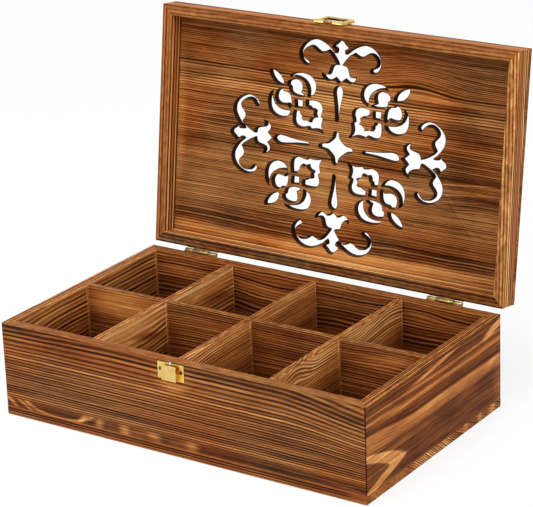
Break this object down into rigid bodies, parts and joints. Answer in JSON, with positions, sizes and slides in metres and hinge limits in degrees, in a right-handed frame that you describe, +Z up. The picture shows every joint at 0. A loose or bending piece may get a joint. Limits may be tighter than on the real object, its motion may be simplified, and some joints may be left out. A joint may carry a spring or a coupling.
{
  "type": "tea bag organizer box",
  "caption": "Shallow wooden box divided into square compartments for tea bags, with a hinged lid whose panel is pierced with scrollwork and a brass hasp catch at the front.",
  "frame": {"origin": "middle of the box's underside, on the surface it stands on", "axes": "+X to the box's right as seen from its front, +Y to its back where the hinges are, +Z up; the lid stands open and the hasp loop is folded back over its leaf"},
  "size_m": [0.33, 0.256, 0.2813],
  "materials": {
    "torched_pine": "brushed and scorched pine, satin",
    "divider_pine": "scorched pine, satin",
    "pierced_panel": "scorched pine, laser-cut edges darkened",
    "brass_plate": "polished pale brass plating",
    "steel_screw": "plated steel"
  },
  "bodies": {
    "box": {"front_wall": "torched_pine", "back_wall": "torched_pine", "left_wall": "torched_pine", "right_wall": "torched_pine", "bottom_panel": "torched_pine", "long_divider": "divider_pine", "cross_divider_left": "divider_pine", "cross_divider_middle": "divider_pine", "cross_divider_right": "divider_pine", "hinge_left_box_leaf": "brass_plate", "hinge_left_pin": "brass_plate", "hinge_left_box_screw_inner": "steel_screw", "hinge_left_box_screw_outer": "steel_screw", "hinge_right_box_leaf": "brass_plate", "hinge_right_pin": "brass_plate", "hinge_right_box_screw_inner": "steel_screw", "hinge_right_box_screw_outer": "steel_screw", "catch_plate": "brass_plate", "catch_tongue": "brass_plate", "catch_screw_left": "steel_screw", "catch_screw_right": "steel_screw", "catch_screw_top": "steel_screw"},
    "lid": {"lid_front_rail": "torched_pine", "lid_back_rail": "torched_pine", "lid_left_rail": "torched_pine", "lid_right_rail": "torched_pine", "lid_panel": "pierced_panel", "hinge_left_lid_leaf": "brass_plate", "hinge_left_lid_screw_inner": "steel_screw", "hinge_left_lid_screw_outer": "steel_screw", "hinge_right_lid_leaf": "brass_plate", "hinge_right_lid_screw_inner": "steel_screw", "hinge_right_lid_screw_outer": "steel_screw", "hasp_leaf": "brass_plate", "hasp_pin": "brass_plate", "hasp_screw_left": "steel_screw", "hasp_screw_right": "steel_screw"},
    "loop": {"hasp_loop": "brass_plate"}
  },
  "joints": [
    {"name": "lid_hinge", "type": "hinge", "parent": "box", "child": "lid", "pos_m": [0, 0.1028, 0.0771], "axis": [1, 0, 0], "range_deg": [0, 98]},
    {"name": "loop_hinge", "type": "hinge", "parent": "lid", "child": "loop", "pos_m": [-0.006, 0.13324, 0.28004], "axis": [1, 0, 0], "range_deg": [0, 177]}
  ]
}
